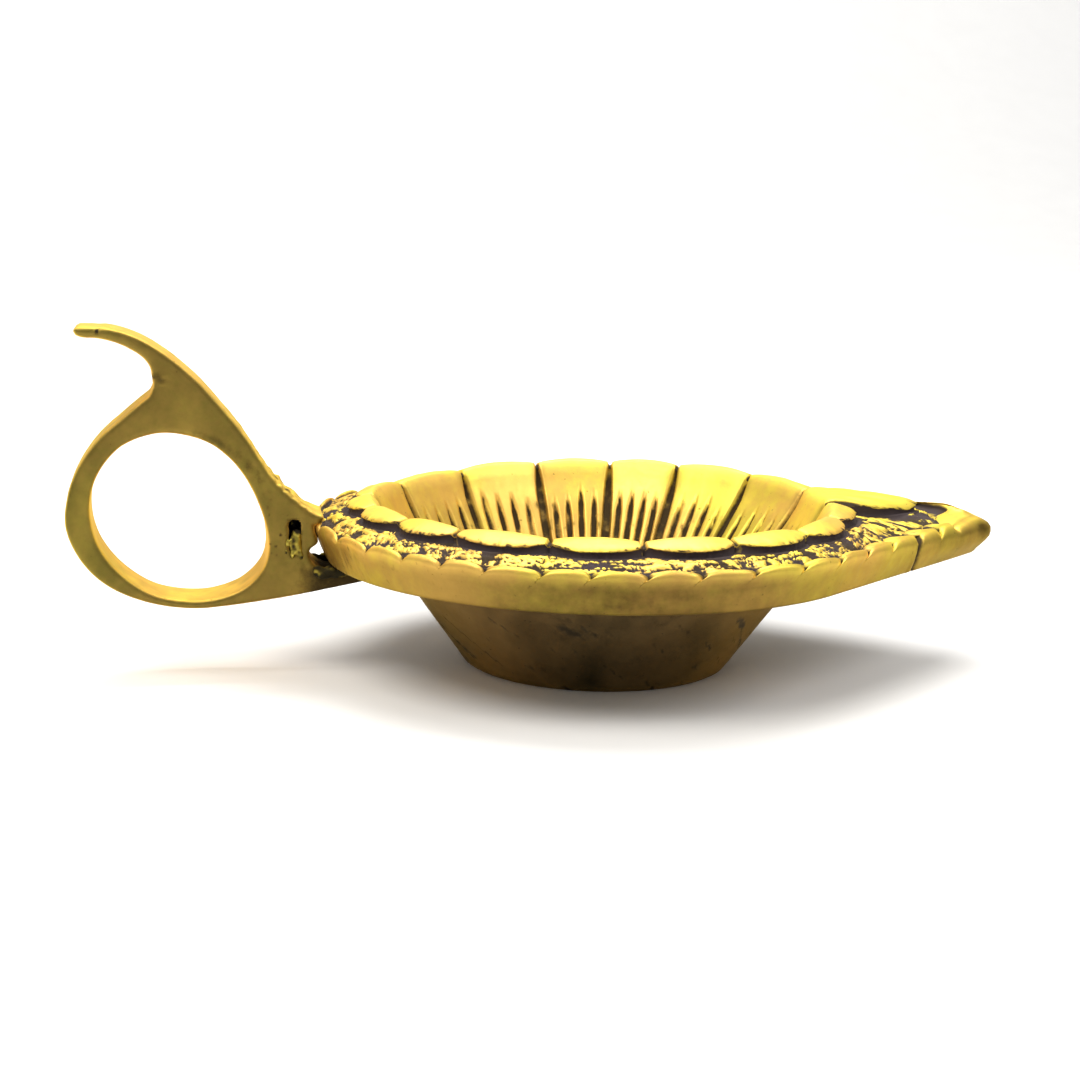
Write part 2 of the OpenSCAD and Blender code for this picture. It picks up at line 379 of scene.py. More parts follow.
def pan():
    rng = np.random.default_rng(7)
    k = np.repeat(np.arange(PETALS), PER)
    u = np.tile(np.arange(PER) / PER, PETALS)
    u = u - 0.30 * np.sin(4 * np.pi * u) / (4 * np.pi)
    pa = np.array(PETAL_AT + [PETAL_AT[0] + 360], float)
    ra = np.array(RIM_AT + [RIM_AT[0] + 360], float)
    width = pa[k + 1] - pa[k]
    petal_deg = pa[k] + width * u
    half = (u >= 0.5).astype(int)
    v = 2 * u - half
    rim_width = ra[2 * k + half + 1] - ra[2 * k + half]
    rim_deg = ra[2 * k + half] + rim_width * v
    t, t2 = 2 * u - 1, 2 * v - 1
    spout_petal = k == PETALS - 1
    petal_rand = rng.uniform(-1, 1, (PETALS, 6))

    R, PATINA_SHADE, TONE, VIO = [], [], [], []

    def at(w):
        return (petal_deg * (1 - w) + rim_deg * w) * DEG

    def ring_xy(x, y, z, patina_shade=0.0, tone=0.0, vio=0.0):
        o = np.ones_like(u)
        R.append(np.stack([x * o, y * o, z * o]))
        PATINA_SHADE.append(patina_shade * o)
        TONE.append(tone * o)
        VIO.append(vio * o)

    def ring(r, z, patina_shade=0.0, tone=0.0, vio=0.0, w=0.0):
        a = at(w)
        ring_xy(r * np.cos(a), r * np.sin(a), z, patina_shade, tone, vio)

    th = at(0)
    cs, sn = np.cos(th), np.sin(th)
    from_spout = (petal_deg + 180) % 360 - 180
    crest_r = 34.6 + 1.5 * bump_at(petal_deg, 48, 42) - 1.5 * bump_at(petal_deg, 132, 28) \
        + 0.6 * bump_at(petal_deg, -45, 25)
    crest_z = 25.3 + 0.42 * bump_at(petal_deg, 55, 42) - 0.35 * bump_at(petal_deg, 138, 26)

    def groove_w(r):
        """Distance along the ring from the nearest groove between petals, mm."""
        return r * DEG * width * np.minimum(u, 1 - u)

    # floor of the bowl
    for r in (3.0, 7.0, 10.5, 13.0):
        z = 3.0 + 0.05 * fbm(r * cs / 4, r * sn / 4, 0, 2, 3)
        ring(r, z, 0.40 + 0.25 * vnoise(r * cs / 3, r * sn / 3, 0, 5), 0.55)

    # wall: base line, then grooves and flutes cut along its normal
    base = np.array([[15.0, 3.05], [16.4, 3.35], [17.8, 4.05], [19.6, 5.3], [21.4, 7.1], [24.0, 10.4],
                     [26.6, 13.8], [29.1, 17.2], [31.4, 20.4], [32.5, 22.3], [33.2, 23.8]])
    seg = np.hypot(*np.diff(base, axis=0).T)
    cum = np.concatenate([[0], np.cumsum(seg)])
    n_wall = 36
    # closer rings where the flutes end
    q = np.linspace(0, 1, n_wall)
    along = cum[-1] * (q + 0.06 * np.sin(2 * np.pi * q))
    rb = np.interp(along, cum, base[:, 0])
    zb = np.interp(along, cum, base[:, 1])
    for _ in range(2):
        rb[1:-1] = (rb[:-2] + 2 * rb[1:-1] + rb[2:]) / 4
        zb[1:-1] = (zb[:-2] + 2 * zb[1:-1] + zb[2:]) / 4
    dr, dz = np.gradient(rb), np.gradient(zb)
    ln = np.hypot(dr, dz)
    nr, nz = -dz / ln, dr / ln  # towards the bowl's space
    phase5 = (5 * u) % 1.0
    near5 = np.round(5 * u).astype(int)
    is_flute = (near5 >= 1) & (near5 <= 4)
    fl_i = np.clip(near5, 1, 4) - 1
    fl_top = 20.3 + 0.80 * petal_rand[k, fl_i] + 0.4 * petal_rand[k, 4]
    for r, z, ar, az in zip(rb, zb, nr, nz):
        lift = smooth(13, 25, z)
        r = r + (crest_r - 34.6) * lift
        z = z + (crest_z - 25.3) * lift
        gw = groove_w(r)
        fade = smooth(3.1, 4.2, z)
        gh = 0.62 - 0.34 * smooth(20.0, 24.5, z) + 0.07 * vnoise(z / 1.5, k, 0, 13)
        g = smooth(gh + 0.22, gh - 0.20, gw)
        wide = np.exp(-(gw / 1.3) ** 2) * smooth(15, 24, z)
        fd = r * DEG * width / 5 * np.minimum(phase5, 1 - phase5)
        s = smooth(fl_top, fl_top - 3.2, z) * is_flute
        fh = 0.10 + 0.31 * s * smooth(2, 12, z) ** 0.3 + 0.05 * vnoise(z / 1.1, near5 * 3.1, k * 1.7, 15)
        f = smooth(fh + 0.20, fh - 0.16, fd) * np.minimum(1, s * 3.5)
        bulge = 0.32 * (1 - t ** 2) * smooth(14, 22, z)
        cut = fade * (0.70 * g + 0.20 * wide + 0.50 * f) - bulge
        rr, zz = r - ar * cut, z - az * cut
        x, y = rr * cs, rr * sn
        cut2 = 0.04 * fbm(x / 1.6, y / 1.6, z / 1.6, 2, 11)
        rr, zz = rr - ar * cut2, zz - az * cut2
        low = smooth(9, 3.2, z)
        stain = fbm(x / 2.4, y / 2.4, z / 2.4, 3, 21)
        worn = fbm(x / 1.3, y / 1.3, z / 1.0, 2, 27)
        patina_shade = np.maximum(g * (0.78 - 0.20 * smooth(22, 24.5, z) + 0.30 * worn), f * (0.80 + 0.50 * worn)) * fade
        rub = smooth(0.15, 0.6, fbm(x / 0.9, y / 0.9, z / 0.9, 2, 25)) * 0.30 * smooth(22.5, 19, z)
        patina_shade = np.maximum(patina_shade, 0.16 * smooth(21.5, 17, z) + 0.35 * low + 0.26 * stain + rub)
        tone = 0.03 + 0.26 * smooth(20.8, 17.5, z) + 0.12 * smooth(17, 8, z) + 0.3 * low
        # darker gold beside the grooves: painted shade
        tone = tone + 0.30 * np.exp(-((gw - 0.5) / 0.7) ** 2) + 0.10 * fbm(x / 3.5, y / 3.5, z / 2, 2, 23)
        ring(rr, zz, np.clip(patina_shade, 0, 1), np.clip(tone, 0, 1), 0.12)

    # petal lip: a lens-shaped roll between two grooves, long and sloping on the spout's petal
    e = np.clip(1 - np.abs(t) ** 2.0, 0, 1) ** 0.70
    a_sp = np.abs(from_spout - 0.5)
    tongue = np.interp(a_sp, [0, 1.5, 3, 5, 7.5, 8.8, 9.6], [50.4, 49.8, 48.4, 45.6, 41.9, 40.0, 38.6])
    r_out = crest_r + 0.75 + 2.25 * e + 0.10 * vnoise(th * 16, 0, 0, 29)
    side = np.exp(-((a_sp - 12) / 4.5) ** 2) * (~spout_petal)
    r_out = r_out + 1.2 * side * e
    r_out = np.where(spout_petal, tongue, r_out)
    z_c = crest_z - 0.75 + 0.75 * e
    z_c = np.where(spout_petal, crest_z - 0.35 + 0.35 * np.clip(e * 1.6, 0, 1), z_c)
    near_half = smooth(1.5, -3, from_spout)
    drop = np.where(spout_petal, 0.20 + (1.45 + 0.7 * near_half) * e, 0.10 + 1.32 * e)
    for f in (0.0, 0.13, 0.27, 0.42, 0.58, 0.74, 0.88, 0.96, 1.0):
        jag = 0.16 * fbm(th * 70, f * 2, 0, 2, 35) * e * smooth(0.7, 1.0, np.full_like(u, f))
        r = crest_r - 0.85 + (r_out + jag - crest_r + 0.85) * f
        inner = 0.40 * np.clip(1 - f / 0.24, 0, 1) ** 2
        q = np.clip((f - 0.20) / 0.80, 0, 1)
        power = np.where(spout_petal, 1.7, 1.12)
        z = z_c - inner - drop * (0.82 * q ** power + 0.18 * q ** 9)
        # long steps that run along the spout's petal
        z = z + spout_petal * 0.13 * np.sin(a_sp * 1.55 + 0.6 * vnoise(r / 4, 0, 0, 33)) * smooth(0.15, 0.4, np.full_like(u, f))
        gw = groove_w(np.minimum(r, 38))
        g = smooth(0.50, 0.12, gw)
        z = z - 0.50 * g + 0.05 * fbm(r * cs / 2.2, r * sn / 2.2, z, 2, 31)
        edge = smooth(0.84, 1.0, np.full_like(u, f))
        ragged = fbm(r * cs / 0.55, r * sn / 0.55, 0, 2, 37)
        ring(r, z, np.clip(0.80 * g + edge * (0.25 + 0.80 * ragged) + 0.08 + 0.16 * fbm(r * cs / 1.2, r * sn / 1.2, 0, 2, 39), 0, 1),
             np.clip(0.02 + 0.16 * edge + 0.10 * g + 0.12 * fbm(r * cs / 2.5, r * sn / 2.5, 0, 2, 40), 0, 1), 0.4)
    a = at(0)
    x, y, z_edge = R[-1]
    r_edge = np.hypot(x, y)

    # undercut below the petals' outer edge; its dark band (the shade values) is painted shadow
    ragged = fbm(r_edge * cs / 0.8, r_edge * sn / 0.8, 3, 2, 41)
    deep = np.clip(e, 0.03, 1) ** 1.1 * np.clip(0.85 + 0.35 * vnoise(th * 9, 0, 0, 43), 0.3, 1)
    shade = [np.clip(0.78 + 0.9 * deep + 0.6 * fbm(r_edge * cs / 0.7, r_edge * sn / 0.7, i * 0.7, 2, 42), 0.3, 1)
             for i in range(5)]
    shade = [np.where(spout_petal, np.maximum(q, 0.94), q) for q in shade]
    far = smooth(0.5, 5, from_spout) * smooth(30, 15, from_spout)
    z_ground = np.where(spout_petal, 22.35 + 0.5 * far, 22.95)
    z_g = np.minimum(z_ground - 0.35 * deep, z_edge - 0.30)
    ring(r_edge + 0.02, z_edge - 0.14, np.clip(0.55 + 0.6 * ragged, 0, 1) * shade[0], 0.1, 0.7)
    ring(r_edge - 0.38 * deep, z_edge - 0.30, shade[1], 0.3, 1.0)
    ring(r_edge - 0.42 * deep, (z_edge + z_g) / 2 - 0.08, shade[2], 0.3, 1.0)
    ring(r_edge - 0.20 * deep, z_g, shade[3], 0.3, 1.0)
    ring(r_edge + 0.22 + 0.15 * ragged, z_g + 0.03, np.clip(shade[4] + 0.1, 0, 1), 0.3, 1.0)

    # scallops of the rim, two to a petal
    e2 = np.clip(1 - np.abs(t2) ** 2.4, 0, 1) ** 0.60
    rth = at(1)
    rim_spout = (rim_deg + 180) % 360 - 180
    near_spout = smooth(52, 20, np.abs(rim_spout))
    tip = np.exp(-((rim_spout + 1.0) / np.where(rim_spout > -1.0, 3.0, 6.0)) ** 2)
    rim_top = tear(rth, 42.35, 56.9, 3.6)
    crease_at = 338.3 - 360 + 0.2
    past = smooth(crease_at - 0.2, crease_at + 0.8, rim_spout) * smooth(-3, -10, rim_spout)
    swell = 0.42 * past
    crease = np.exp(-((rim_spout - crease_at) / 0.50) ** 2)
    v_mm = rim_top * DEG * rim_width * np.minimum(v, 1 - v)
    v_notch = np.exp(-(v_mm / 0.50) ** 2)
    v_dark = np.exp(-(v_mm / 0.95) ** 2)
    pad_w = 0.45 + 0.25 * vnoise(rth * 7, 0, 0, 45) + 1.9 * near_spout * (1 - 0.75 * smooth(0, 4, rim_spout)) + 4.2 * tip
    pad_in = rim_top - 0.40 - pad_w * (0.35 + 0.65 * e2)
    far = smooth(0.5, 5, rim_spout) * smooth(32, 15, rim_spout)
    far_lift = 0.45 * smooth(4, 14, rim_spout) * smooth(60, 30, rim_spout) + 0.75 * far
    pad_z = 21.25 + 0.95 * e2 - 0.15 * near_spout - 0.25 * tip + far_lift
    pad_z = pad_z + 0.07 * vnoise(rth * 14, 0, 0, 47)

    # granular ground of the border
    n_border = 19
    r0 = r_edge + 0.50 + 0.10 * ragged
    z0 = np.where(spout_petal, 22.55 + 0.5 * far, 23.0)
    z1 = 21.50 + 0.12 * e2 - 0.05 * near_spout + 0.6 * far_lift
    for i in range(n_border):
        f = i / (n_border - 1)
        one = np.full_like(u, f)
        w = smooth(0.0, 1.0, f)
        a = at(w)
        r = r0 + (pad_in - r0) * f
        x, y = r * np.cos(a), r * np.sin(a)
        z = z0 + (z1 - z0) * f ** 0.9 + 0.22 * np.exp(-((f - 0.42) / 0.22) ** 2)
        d1, d2, kind = cells(x, y, 0.92, 61)
        pit = np.exp(-(d1 / 0.25) ** 2) * (kind < 0.62)
        seam = np.exp(-((d2 - d1) / 0.14) ** 2)
        d3, d4, kind3 = cells(x + 40, y, 0.50, 71)
        pit = np.maximum(pit, 0.8 * np.exp(-(d3 / 0.15) ** 2) * (kind3 < 0.40))
        arc = r * a
        streak = vnoise(arc / 2.6, (r - 38) / 0.42, 0, 75)
        patch = fbm(x / 2.2, y / 2.2, 0, 2, 73)
        middle = np.exp(-(((rim_deg - 270 + 180) % 360 - 180) / 45) ** 2)
        low = pit + 0.70 * seam * smooth(-0.3, 0.3, patch) + (0.40 + 0.45 * middle) * smooth(0.1, 0.6, streak)
        # diagonal cuts towards the spout
        slant = vnoise(x / 0.8 + y / 1.6, (x + y) / 6, 0, 77)
        low = low + 0.85 * smooth(0.0, 0.5, slant) * smooth(66, 46, np.abs(rim_spout)) * (1 - tip)
        # low along the inner edge, next to the undercut: painted shadow and dark patina
        low = low + 0.8 * smooth(0.16, 0.0, one) + 0.60 * smooth(0.82, 0.99, one) * (1 - 0.7 * near_spout)
        # smooth dark hollow at the end of the spout's petal
        hollow = np.exp(-(((x - 52.0) / 5.2) ** 2 + ((y - 4.0 - 0.35 * (52 - x)) / 2.3) ** 2) ** 1.5)
        hollow = np.maximum(hollow, np.exp(-(((x - 46.5) / 4.5) ** 2 + ((y + 4.8) / 1.6) ** 2)))
        blotch = fbm(x / 1.5 + 9, y / 1.5, 0, 2, 78)
        low = low + 0.9 * np.exp(-(v_mm / 0.40) ** 2) * near_spout * smooth(0.40, 0.9, one) * (1 - tip)
        low = low + 0.8 * np.exp(-(v_mm / 1.1) ** 2) * smooth(0.65, 0.98, one) * (1 - tip)
        low = low + 1.3 * hollow - 0.30 * patch + 0.55 * smooth(0.05, 0.5, blotch) - 0.25 * smooth(0.0, 0.5, -blotch)
        tipped = smooth(56.0, 58.5, x)
        low = low * (1 - 0.9 * tipped)
        relief = np.clip(1 - low, -0.35, 1)
        ends = smooth(0.0, 0.10, one) * smooth(1.0, 0.95, one)
        z = z + 0.38 * (relief - 0.45) * ends * (1 - 0.6 * hollow) - 0.35 * hollow * ends
        patina_shade = 0.95 * (1 - smooth(0.20, 0.86, relief))
        # darkest next to the undercut: painted shadow and dark patina
        patina_shade = np.where(f < 0.06, np.maximum(patina_shade, 0.85), patina_shade)
        ring_xy(x, y, z, np.clip(patina_shade, 0, 1), np.clip(0.05 + 0.55 * (1 - relief), 0, 0.6),
                np.clip(0.65 + 0.5 * vnoise(x / 3, y / 3, 0, 79), 0, 1))

    # pads of the rim
    ring(pad_in + 0.10, pad_z - 0.12, np.clip(0.35 + 0.9 * v_dark - 0.35 * tip, 0, 1), 0.05, 0.8, 1)
    for f, dz in ((0.30, 0.0), (0.65, 0.04)):
        r = pad_in + 0.10 + (rim_top - 0.42 - pad_in - 0.10) * f
        x, y = r * np.cos(rth), r * np.sin(rth)
        z = pad_z + dz + 0.08 * fbm(x / 0.9, y / 0.9, 0, 2, 83) - 0.5 * v_notch
        speck = 0.45 * fbm(x / 0.6, y / 0.6, 0, 2, 85)
        ring(r, z, np.clip((0.95 - 0.5 * tip) * v_dark + 0.16 + speck, 0, 1), 0.04, 0.8, 1)

    # outer side: outlines at a run of heights, swelling and dented by hand dressing
    side_levels = [(22.00, 42.12, 56.2, 3.0), (21.75, 42.38, 56.7, 3.5), (21.35, 42.52, 57.1, 4.0),
                   (20.85, 42.45, 57.5, 4.4), (20.2, 42.18, 57.75, 4.6), (19.5, 41.92, 57.8, 4.6),
                   (18.8, 41.62, 57.75, 4.5), (18.1, 41.35, 57.5, 4.2), (17.4, 41.05, 57.25, 3.8),
                   (16.8, 40.80, 57.0, 3.4), (16.40, 40.64, 56.9, 3.2), (16.14, 40.46, 56.75, 3.0),
                   (16.02, 40.22, 56.6, 2.8)]
    for i, (zl, rl, cl, rho) in enumerate(side_levels):
        f = i / (len(side_levels) - 1)
        one = np.full_like(u, f)
        x, y, nx, ny = matched(rth, rl, cl, rho)
        # the scallops shape the top edge and fade down the side
        top = smooth(0.42, 0.0, one)
        z = zl + (pad_z - 21.98) * top - 0.22 * v_notch * smooth(0.30, 0.0, one)
        dent = 0.10 * fbm(x / 5, y / 5, z / 9, 2, 91) + 0.03 * fbm(x / 1.3, y / 1.3, z / 2.2, 2, 93)
        filed = np.exp(-((np.abs(rim_spout) - 172) / 24) ** 2)
        dent = dent + 0.10 * filed * vnoise(rth * 60, 0, z / 6, 95)
        crease = np.exp(-((rim_spout - crease_at - 2.4 * f) / (0.40 + 0.25 * f)) ** 2)
        d = dent + swell * (1 - 0.35 * f) - 0.65 * crease * (1 - 0.3 * (i == 0)) - 0.16 * v_notch * smooth(0.5, 0.0, one)
        # cast-in pit beside the tip, on the near side
        pit = np.exp(-(((x - 59.6) / 1.1) ** 2 + ((z - 20.3) / 0.8) ** 2)) * (y < 0)
        d = d - 0.35 * pit
        d = np.minimum(d, 0.25) * (0.4 if i > 10 else 1.0)
        left = bump_at(rim_deg, 209, 30)
        right = bump_at(rim_deg, 320, 30)
        # the side's tone is painted shade and reflection: dull overall, darker below the top edge, lighter left and
        # right where the lights reflect; the noise and the pit are the metal's own
        tone = 0.66 + 0.34 * smooth(0.08, 0.45, one) - 0.42 * left - 0.30 * right
        tone = tone + 0.07 * fbm(x / 5, y / 5, z / 2, 2, 97) + 0.5 * pit
        # line: a painted highlight along the side's top edge
        line = np.exp(-((i - 1.0) / 0.8) ** 2)
        speck = 0.55 * np.clip(fbm(x / 0.5, y / 0.5, z / 0.5, 2, 99), 0, 1) * (0.35 + 0.65 * left)
        patina_shade = 0.95 * crease + 0.85 * v_notch * smooth(0.17, 0.0, one) + speck * (1 - line) + 0.3 * pit
        # darker patina at the middle of the side: painted reflection of the dark space in front
        patina_shade = patina_shade + 0.22 * bump_at(rim_deg, 264, 26) * smooth(0.08, 0.4, one)
        patina_shade = patina_shade + 0.35 * left * filed * smooth(0.1, 0.7, vnoise(rth * 70, 0, z / 5, 103))
        ring_xy(x + nx * d, y + ny * d, z, np.clip(patina_shade, 0, 1), np.clip(tone * (1 - 0.8 * line), 0, 1), 0.15)

    # underside, then the outside of the bowl, which sits in the foot; their dull tone and patina are painted shade
    x0, y0 = R[-1][0], R[-1][1]
    uth = np.arctan2(y0, x0)
    for f in (0.12, 0.5, 1.0):
        x = x0 * (1 - f) + 31.15 * np.cos(uth) * f
        y = y0 * (1 - f) + 31.15 * np.sin(uth) * f
        ring_xy(x, y, 16.0 + 0.03 * np.abs(fbm(x / 2, y / 2, 0, 2, 101)), 0.45 + 0.3 * (f == 1.0), 0.95)
    for r, z in ((30.17, 16.0), (27.97, 13.22), (22.28, 5.93), (18.36, 2.62), (15.4, 1.82), (8.0, 1.8)):
        ring_xy(r * np.cos(uth), r * np.sin(uth), z, 0.6, 1.0)

    xyz = np.array(R)
    att = {"patina_and_shade": np.clip(np.array(PATINA_SHADE), 0, 1), "tone": np.clip(np.array(TONE), 0, 1),
           "violet": np.clip(np.array(VIO), 0, 1)}
    mesh = lathe_mesh("pan_casting", xyz[:, 0], xyz[:, 1], xyz[:, 2], att, (0, 0, 3.0), (0, 0, 1.8))
    return add_piece("pan_casting", mesh, ["lamp_pan"], mat_pan)


pan()


# ---------------------------------------------------------------- foot
def foot():
    n = 288
    th = np.arange(n) / n * 2 * np.pi
    cs, sn = np.cos(th), np.sin(th)
    line = [(30.24, 15.97, 0), (30.6, 15.98, 0), (30.85, 15.97, 0), (30.98, 15.85, 1)]
    for f in np.linspace(0.03, 0.97, 26):
        line.append((31 + (19.5 - 31) * f, 15.98 * (1 - f) + 0.02 * f, 1))
    line += [(19.42, 0.42, 1), (19.28, 0.20, 1), (19.05, 0.05, 1), (18.8, 0.0, 1), (18.2, 0.0, 0),
             (17.75, 0.0, 0), (17.62, 0.12, 0), (17.6, 1.2, 0), (17.6, 2.33, 0), (18.42, 2.6, 0),
             (22.32, 5.88, 0), (28.02, 13.18, 0), (30.2, 15.9, 0)]
    rr, zz, patina_shade, tone = [], [], [], []
    for r, z, outer in line:
        x, y = r * cs, r * sn
        d = outer * (0.06 * fbm(x / 7, y / 7, z / 7, 2, 201) + 0.03 * fbm(x / 1.5, y / 1.5, z / 1.5, 2, 203))
        d = d * smooth(0.0, 0.6, z) if outer else 0.0
        # turning marks
        d = d - outer * 0.03 * np.clip(vnoise(z * 2.3, 0, 0, 205), 0, 1) * smooth(0.4, 1.5, z)
        rr.append(r + d + 0 * th)
        zz.append(z + 0 * th)
        scr = vnoise(th * 22 + z * 1.2, z / 3.5, 0, 207)
        # seam: a dark line at the top of the foot under the rim, painted shadow
        seam = math.exp(-((z - 15.98) / 0.30) ** 2) * outer
        # rub: less patina left and right, painted light
        rub = bump_at(th / DEG, 212, 26) + bump_at(th / DEG, 322, 26)
        patina_shade.append(np.clip(0.26 + 0.30 * fbm(x / 4, y / 4, z / 2, 3, 209) + 0.45 * smooth(0.6, 0.85, scr) + 0.6 * seam - 0.15 * rub, 0, 1))
        # lighter left and right on the foot: painted light
        painted_light_sides = bump_at(th / DEG, 212, 26) + 1.2 * bump_at(th / DEG, 322, 28) + 0.5 * bump_at(th / DEG, 90, 60)
        lit = 0.75 + 0.35 * fbm(x / 5, y / 5, z / 5, 2, 211) - 0.25 * (z < 0.6) * outer - 0.65 * painted_light_sides
        tone.append(np.clip(lit, 0, 1))
    rr, zz = np.array(rr), np.array(zz)
    # closed ring: join the last ring back to the first
    n_ring = len(rr)
    co = np.stack([rr * cs, rr * sn, zz], -1).reshape(-1, 3) * MM
    i = np.arange(n_ring)[:, None]
    j = np.arange(n)[None, :]
    a, b = i * n, ((i + 1) % n_ring) * n
    k = (j + 1) % n
    quads = np.stack([a + j, b + j, b + k, a + k], -1).reshape(-1, 4)
    mesh = bpy.data.meshes.new("foot_casting")
    mesh.from_pydata(co.tolist(), [], quads.tolist())
    mesh.update()
    set_attribute(mesh, "patina_and_shade", np.array(patina_shade))
    set_attribute(mesh, "tone", np.array(tone))
    set_attribute(mesh, "violet", np.zeros(rr.size))
    bm = bmesh.new()
    bm.from_mesh(mesh)
    bmesh.ops.recalc_face_normals(bm, faces=bm.faces)
    bm.to_mesh(mesh)
    bm.free()
    return add_piece("foot_casting", mesh, ["foot"], mat_foot)


foot()


# ---------------------------------------------------------------- handle
def spline(p, s, closed):
    p = np.array(p, float)
    n = len(p)
    out = []
    for i in range(n if closed else n - 1):
        if closed:
            a, b, c, d = p[(i - 1) % n], p[i], p[(i + 1) % n], p[(i + 2) % n]
        else:
            a, b, c, d = p[max(i - 1, 0)], p[i], p[i + 1], p[min(i + 2, n - 1)]
        for j in range(s):
            q = j / s
            out.append(0.5 * (2 * b + (c - a) * q + (2 * a - 5 * b + 4 * c - d) * q * q
                              + (3 * b - a - 3 * c + d) * q ** 3))
    if not closed:
        out.append(p[-1])
    return out


def plate_mesh(name, loops, thick, bevel, voxel, passes=3):
    """Flat plate in X and Z with rounded edges, from outline loops in mm, as an even closed mesh."""
    cu = bpy.data.curves.new(name, "CURVE")
    cu.dimensions = "2D"
    cu.fill_mode = "BOTH"
    cu.extrude = (thick / 2 - bevel) * MM
    cu.bevel_depth = bevel * MM
    cu.bevel_resolution = 3
    cu.offset = -bevel * MM
    for pts in loops:
        sp = cu.splines.new("POLY")
        sp.points.add(len(pts) - 1)
        for q, (x, z) in zip(sp.points, pts):
            q.co = (x * MM, z * MM, 0, 1)
        sp.use_cyclic_u = True
    ob = bpy.data.objects.new(name + "_tmp", cu)
    scene.collection.objects.link(ob)
    bpy.context.view_layer.update()
    mesh = bpy.data.meshes.new_from_object(ob.evaluated_get(bpy.context.evaluated_depsgraph_get()))
    bpy.data.objects.remove(ob)
    bm = bmesh.new()
    bm.from_mesh(mesh)
    bmesh.ops.remove_doubles(bm, verts=bm.verts, dist=1e-6)
    bmesh.ops.transform(bm, matrix=Matrix(((1, 0, 0, 0), (0, 0, -1, 0), (0, 1, 0, 0), (0, 0, 0, 1))), verts=bm.verts)
    bmesh.ops.recalc_face_normals(bm, faces=bm.faces)
    bm.to_mesh(mesh)
    bm.free()
    return remeshed(name, mesh, voxel, passes)


def remeshed(name, mesh, voxel, passes):
    ob = bpy.data.objects.new(name + "_tmp", mesh)
    scene.collection.objects.link(ob)
    m = ob.modifiers.new("r", "REMESH")
    m.mode = "VOXEL"
    m.voxel_size = voxel * MM
    if passes:
        s = ob.modifiers.new("s", "SMOOTH")
        s.factor, s.iterations = 0.5, passes
    bpy.context.view_layer.update()
    out = bpy.data.meshes.new_from_object(ob.evaluated_get(bpy.context.evaluated_depsgraph_get()))
    bpy.data.objects.remove(ob)
    out.name = name
    return out


HAND_TOP = [(-75.2, 49.9), (-72.4, 49.8), (-69.6, 49.3), (-66.8, 48.3), (-64, 46.7), (-61.2, 44.6),
            (-58.4, 42), (-55.6, 38.8), (-52.7, 35.2), (-50, 31), (-48.2, 28.3), (-45.5, 25.7),
            (-43.2, 23.9), (-41.4, 23.2)]
HAND_SEAT = [(-41.1, 22.9), (-41.6, 21.82), (-42.62, 21.82), (-42.4, 20.8), (-41.9, 19.3), (-42.3, 18.8), (-43.1, 18.3),
             (-43.3, 17.5), (-42.8, 16.4), (-41.8, 15.5), (-40.4, 14.8), (-38.4, 14.9), (-37.4, 15.98),
             (-32.4, 15.98), (-32.4, 15)]
HAND_LOOP = [(-32.4, 14), (-36, 13.3), (-41, 12.3), (-47.5, 11.1), (-54, 10.2), (-60, 9.8), (-66, 10.7),
             (-71.5, 13.1), (-75.2, 16.7), (-77.3, 21.5), (-76.9, 26.4), (-75.3, 30.4), (-72.6, 34.2),
             (-69.8, 36.8), (-66.9, 39.3), (-65.5, 40.4)]
HAND_THUMB = [(-65, 41.6), (-65.1, 42.9), (-65.6, 44.6), (-66.9, 46), (-69.4, 47.4), (-72.1, 48.15),
              (-74.4, 48.3), (-75.4, 48.6)]
HAND_HOLE = [(-60.5, 11), (-65.5, 12.1), (-70, 15.3), (-72.9, 19.4), (-73.9, 24.2), (-72.9, 28.9),
             (-69.8, 32.9), (-65.6, 34.8), (-61.5, 34.9), (-57, 33.4), (-53.2, 29.9), (-50.6, 25.2),
             (-49.2, 20.2), (-49.6, 16.1), (-52.4, 12.9), (-56.4, 11.3)]
SLOT = [(-46.1, 18.7), (-46.1, 21.2), (-46.25, 21.75), (-45.9, 22.35), (-45.2, 22.5), (-44.6, 22.1),
        (-44.55, 21.4), (-44.65, 20), (-44.65, 18.7), (-44.9, 18.05), (-45.4, 17.85), (-45.9, 18.1)]


